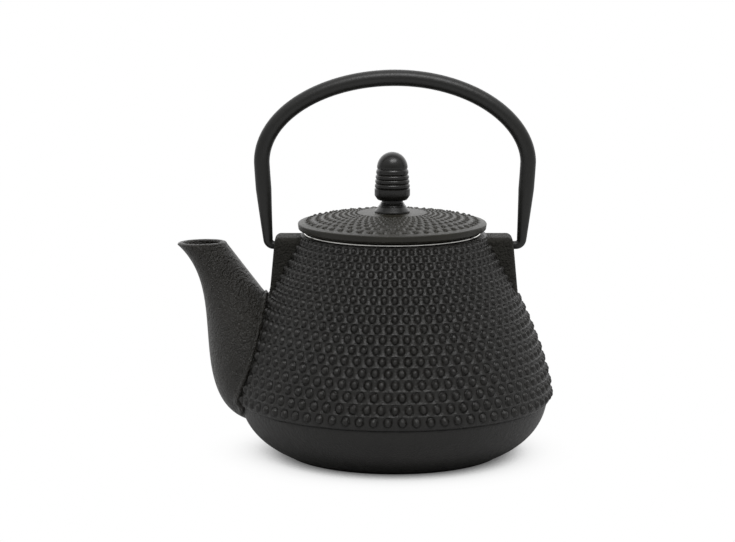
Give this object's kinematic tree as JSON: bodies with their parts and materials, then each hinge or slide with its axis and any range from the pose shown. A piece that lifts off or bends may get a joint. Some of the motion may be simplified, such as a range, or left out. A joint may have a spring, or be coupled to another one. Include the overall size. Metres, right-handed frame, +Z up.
{
  "type": "cast iron teapot",
  "caption": "Hobnail cast iron teapot with a swan spout, a folding bail handle, a lift-off lid with a ribbed knob and a steel infuser.",
  "frame": {"origin": "centre of the flat base, on the surface that the teapot stands on", "axes": "+Z up; the spout points towards -X; the bail handle's hinge axis is parallel to X; Y = 0 is the plane of symmetry"},
  "size_m": [0.2012, 0.171, 0.2071],
  "materials": {
    "cast_iron": "matt black, sand-cast texture",
    "handle_iron": "satin black",
    "lid_iron": "matt grey-black",
    "enamel": "gloss black vitreous enamel",
    "stainless_steel": "brushed",
    "steel_mesh": "fine woven mesh"
  },
  "bodies": {
    "vessel": {"vessel_body": "cast_iron", "enamel_lining": "enamel", "spout": "cast_iron", "lug_spout_side": "cast_iron", "lug_rear_side": "cast_iron"},
    "handle": {"bail_handle": "handle_iron"},
    "infuser": {"infuser_rim": "stainless_steel", "infuser_mesh_wall": "steel_mesh", "infuser_mesh_floor": "steel_mesh", "infuser_base_ring": "stainless_steel"},
    "lid": {"lid": "lid_iron", "knob_collar": "handle_iron", "knob_head": "handle_iron", "knob_washer": "stainless_steel", "knob_screw": "stainless_steel"}
  },
  "joints": [
    {"name": "handle_hinge", "type": "hinge", "parent": "vessel", "child": "handle", "pos_m": [0, 0, 0.1126], "axis": [1, 0, 0], "range_deg": [-117, 117]},
    {"name": "infuser_lift", "type": "slide", "parent": "vessel", "child": "infuser", "axis": [0, 0, 1], "range_m": [0, 0.032]},
    {"name": "lid_lift", "type": "slide", "parent": "infuser", "child": "lid", "axis": [0, 0, 1], "range_m": [0, 0.032]}
  ]
}
